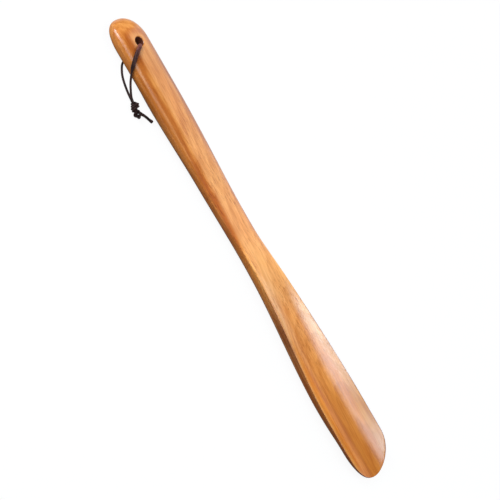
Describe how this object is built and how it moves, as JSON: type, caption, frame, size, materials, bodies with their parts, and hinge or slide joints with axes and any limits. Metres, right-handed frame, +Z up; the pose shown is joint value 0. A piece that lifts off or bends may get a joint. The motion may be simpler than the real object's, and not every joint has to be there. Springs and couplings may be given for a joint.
{
  "type": "long-handled shoe horn",
  "caption": "Long wooden shoe horn with a rounded grip, a slim waist, a broad scooped blade and a knotted leather hanging thong through a hole in the grip.",
  "frame": {"origin": "on the surface that the horn lies on, under the middle of its length and width, measured on the wooden body without the thong", "axes": "+Z up out of the scoop, +Y along the length towards the handle's end, +X to the side away from the thong as it lies"},
  "size_m": [0.0503, 0.38, 0.0191],
  "materials": {
    "lacquered_wood": "fine straight-grained reddish orange hardwood under a clear gloss lacquer",
    "dark_leather": "round dark brown leather thong, slightly waxy"
  },
  "bodies": {
    "horn": {"horn_body": "lacquered_wood"},
    "thong": {"thong_loop": "dark_leather", "thong_knot": "dark_leather", "thong_tail_long": "dark_leather", "thong_tail_short": "dark_leather"}
  },
  "joints": [
    {"name": "thong_swing", "type": "hinge", "parent": "horn", "child": "thong", "pos_m": [0, 0.1673, 0.0086], "axis": [0, 0, -1], "range_deg": [0, 240]}
  ]
}
